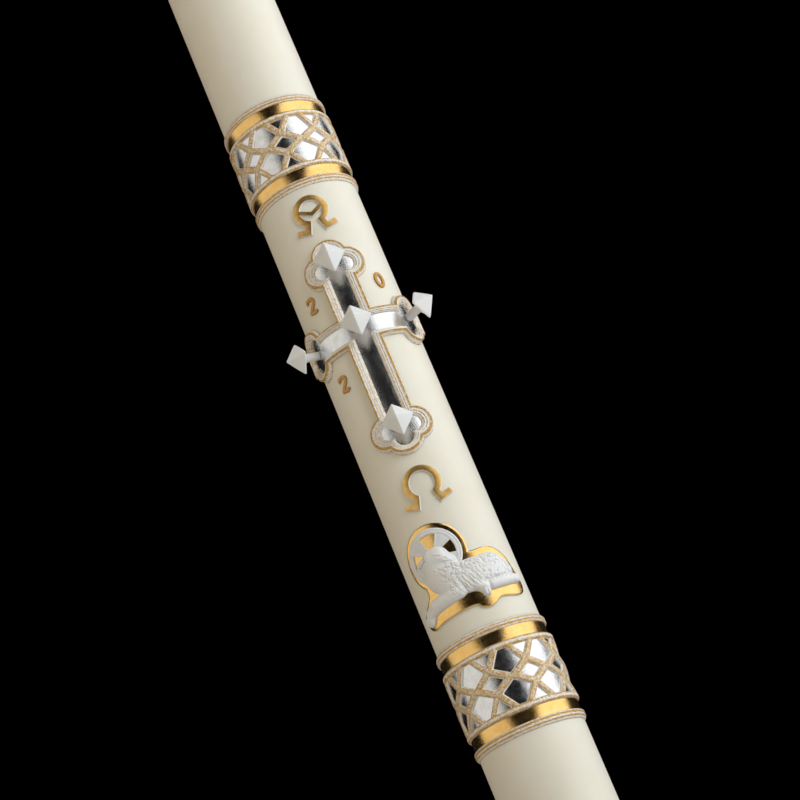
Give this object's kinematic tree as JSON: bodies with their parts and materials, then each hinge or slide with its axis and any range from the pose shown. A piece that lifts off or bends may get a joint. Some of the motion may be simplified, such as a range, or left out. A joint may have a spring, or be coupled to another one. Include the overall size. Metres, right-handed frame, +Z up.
{
  "type": "altar candle",
  "caption": "Large ivory altar candle with lattice collars, a budded cross with pull-out incense nails, alpha, omega and a lamb relief.",
  "frame": {"origin": "middle of the flat base", "axes": "+Z up along the candle towards the wick, -Y out of the front, where the cross is"},
  "size_m": [0.1149, 0.1056, 1.2332],
  "materials": {
    "ivory_wax": "satin",
    "white_wax": "matte",
    "brushed_wax": "satin",
    "gold_foil": "polished",
    "silver_foil": "polished",
    "ochre_wax": "satin",
    "steel_pin": "satin",
    "cotton": "matte"
  },
  "bodies": {
    "candle": {"candle_shaft": "ivory_wax", "wick": "cotton", "cross_frame": "brushed_wax", "cross_silver_inlay": "silver_foil", "alpha_wax": "white_wax", "alpha_gold_face": "gold_foil", "omega_wax": "white_wax", "omega_gold_face": "gold_foil", "numeral_two_upper": "ochre_wax", "numeral_zero": "ochre_wax", "numeral_two_lower": "ochre_wax", "lamb_plate_wax": "white_wax", "lamb_plate_gold": "gold_foil", "lamb_relief": "white_wax", "halo": "white_wax", "upper_collar_silver_foil": "silver_foil", "upper_collar_lattice": "brushed_wax", "upper_collar_top_gold_band": "gold_foil", "upper_collar_top_bead": "brushed_wax", "upper_collar_bottom_gold_band": "gold_foil", "upper_collar_bottom_bead": "brushed_wax", "lower_collar_silver_foil": "silver_foil", "lower_collar_lattice": "brushed_wax", "lower_collar_top_gold_band": "gold_foil", "lower_collar_top_bead": "brushed_wax", "lower_collar_bottom_gold_band": "gold_foil", "lower_collar_bottom_bead": "brushed_wax"},
    "incense_nail_top": {"nail_top": "white_wax", "nail_top_pin": "steel_pin"},
    "incense_nail_left": {"nail_left": "white_wax", "nail_left_pin": "steel_pin"},
    "incense_nail_centre": {"nail_centre": "white_wax", "nail_centre_pin": "steel_pin"},
    "incense_nail_right": {"nail_right": "white_wax", "nail_right_pin": "steel_pin"},
    "incense_nail_bottom": {"nail_bottom": "white_wax", "nail_bottom_pin": "steel_pin"}
  },
  "joints": [
    {"name": "nail_top_pull", "type": "slide", "parent": "candle", "child": "incense_nail_top", "axis": [0.0087, -1, 0], "range_m": [0, 0.026]},
    {"name": "nail_left_pull", "type": "slide", "parent": "candle", "child": "incense_nail_left", "axis": [-0.8788, -0.4772, 0], "range_m": [0, 0.026]},
    {"name": "nail_centre_pull", "type": "slide", "parent": "candle", "child": "incense_nail_centre", "axis": [0.0087, -1, 0], "range_m": [0, 0.026]},
    {"name": "nail_right_pull", "type": "slide", "parent": "candle", "child": "incense_nail_right", "axis": [0.8735, -0.4547, 0.1736], "range_m": [0, 0.026]},
    {"name": "nail_bottom_pull", "type": "slide", "parent": "candle", "child": "incense_nail_bottom", "axis": [0.0087, -1, 0], "range_m": [0, 0.026]}
  ]
}
